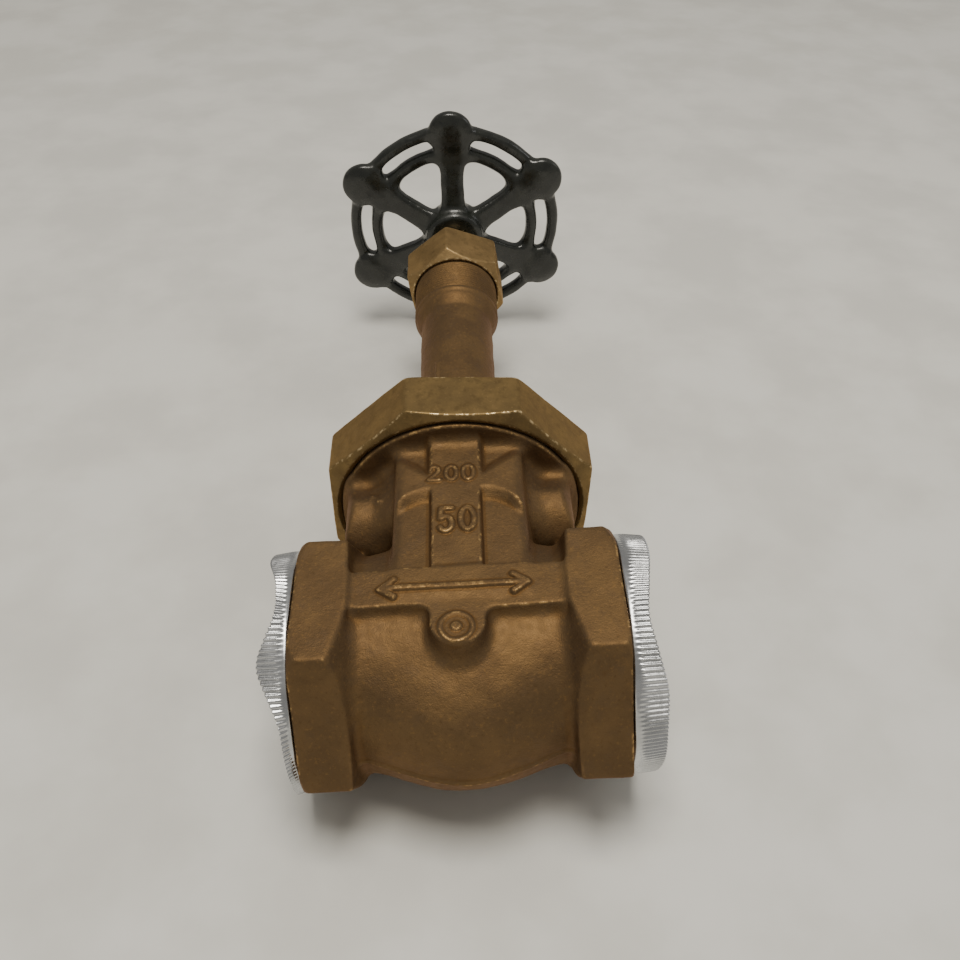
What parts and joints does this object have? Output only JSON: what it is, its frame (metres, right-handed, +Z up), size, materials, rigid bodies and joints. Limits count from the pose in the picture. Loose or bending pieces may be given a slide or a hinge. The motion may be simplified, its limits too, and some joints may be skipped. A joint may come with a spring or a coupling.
{
  "type": "water shutoff valve",
  "caption": "Bronze gate valve with threaded hexagonal ends, union bonnet, rising stem and lobed black handwheel, lying on its side with end protectors in its ports.",
  "frame": {"origin": "centre of the outline's underside, on the surface that the valve lies on", "axes": "+Z up, +Y the way the stem points (it rises 3.9 degrees from level), +X along the flow (rolled 4 degrees, because the valve rests on a flat of its union ring)"},
  "size_m": [0.1176, 0.2948, 0.1137],
  "materials": {
    "cast_bronze": "as-cast bronze, brown and grainy",
    "machined_bronze": "tarnished bronze with worn bright edges",
    "seat_bronze": "turned bronze",
    "stem_bronze": "polished bronze bar",
    "black_enamel": "glossy black enamel over cast iron",
    "pressed_aluminium": "bright pressed sheet",
    "packing": "graphited braid",
    "gasket": "pressed fibre sheet",
    "plated_steel": "zinc plated"
  },
  "bodies": {
    "valve": {"body_casting": "cast_bronze", "seat_ring_left": "seat_bronze", "seat_ring_right": "seat_bronze", "bonnet": "cast_bronze", "bonnet_gasket": "gasket", "bonnet_ring": "machined_bronze", "packing_nut": "machined_bronze", "packing_gland": "seat_bronze", "packing_ring_1": "packing", "packing_ring_2": "packing", "packing_ring_3": "packing", "packing_ring_4": "packing", "packing_ring_5": "packing"},
    "gate": {"wedge_disc": "seat_bronze"},
    "spindle": {"stem": "stem_bronze", "handwheel": "black_enamel", "handwheel_plate": "pressed_aluminium", "handwheel_washer": "plated_steel", "handwheel_nut": "plated_steel"},
    "cap_left": {"port_cap_left": "pressed_aluminium"},
    "cap_right": {"port_cap_right": "pressed_aluminium"}
  },
  "joints": [
    {"name": "gate_lift", "type": "slide", "parent": "valve", "child": "gate", "axis": [0, 0.9977, 0.0684], "range_m": [-0.0191, 0.0318]},
    {"name": "handwheel_turn", "type": "hinge", "parent": "gate", "child": "spindle", "pos_m": [0, 0.13715, 0.05699], "axis": [0, 0.9977, 0.0684], "range_deg": [-1080, 1800]},
    {"name": "cap_left_pull", "type": "slide", "parent": "valve", "child": "cap_left", "axis": [-0.9976, 0.0048, -0.0696], "range_m": [0, 0.03]},
    {"name": "cap_right_pull", "type": "slide", "parent": "valve", "child": "cap_right", "axis": [0.9976, -0.0048, 0.0696], "range_m": [0, 0.03]}
  ],
  "couplings": [
    {"joint": "gate_lift", "follows": "handwheel_turn", "m_per_rad": 0.0010106}
  ]
}
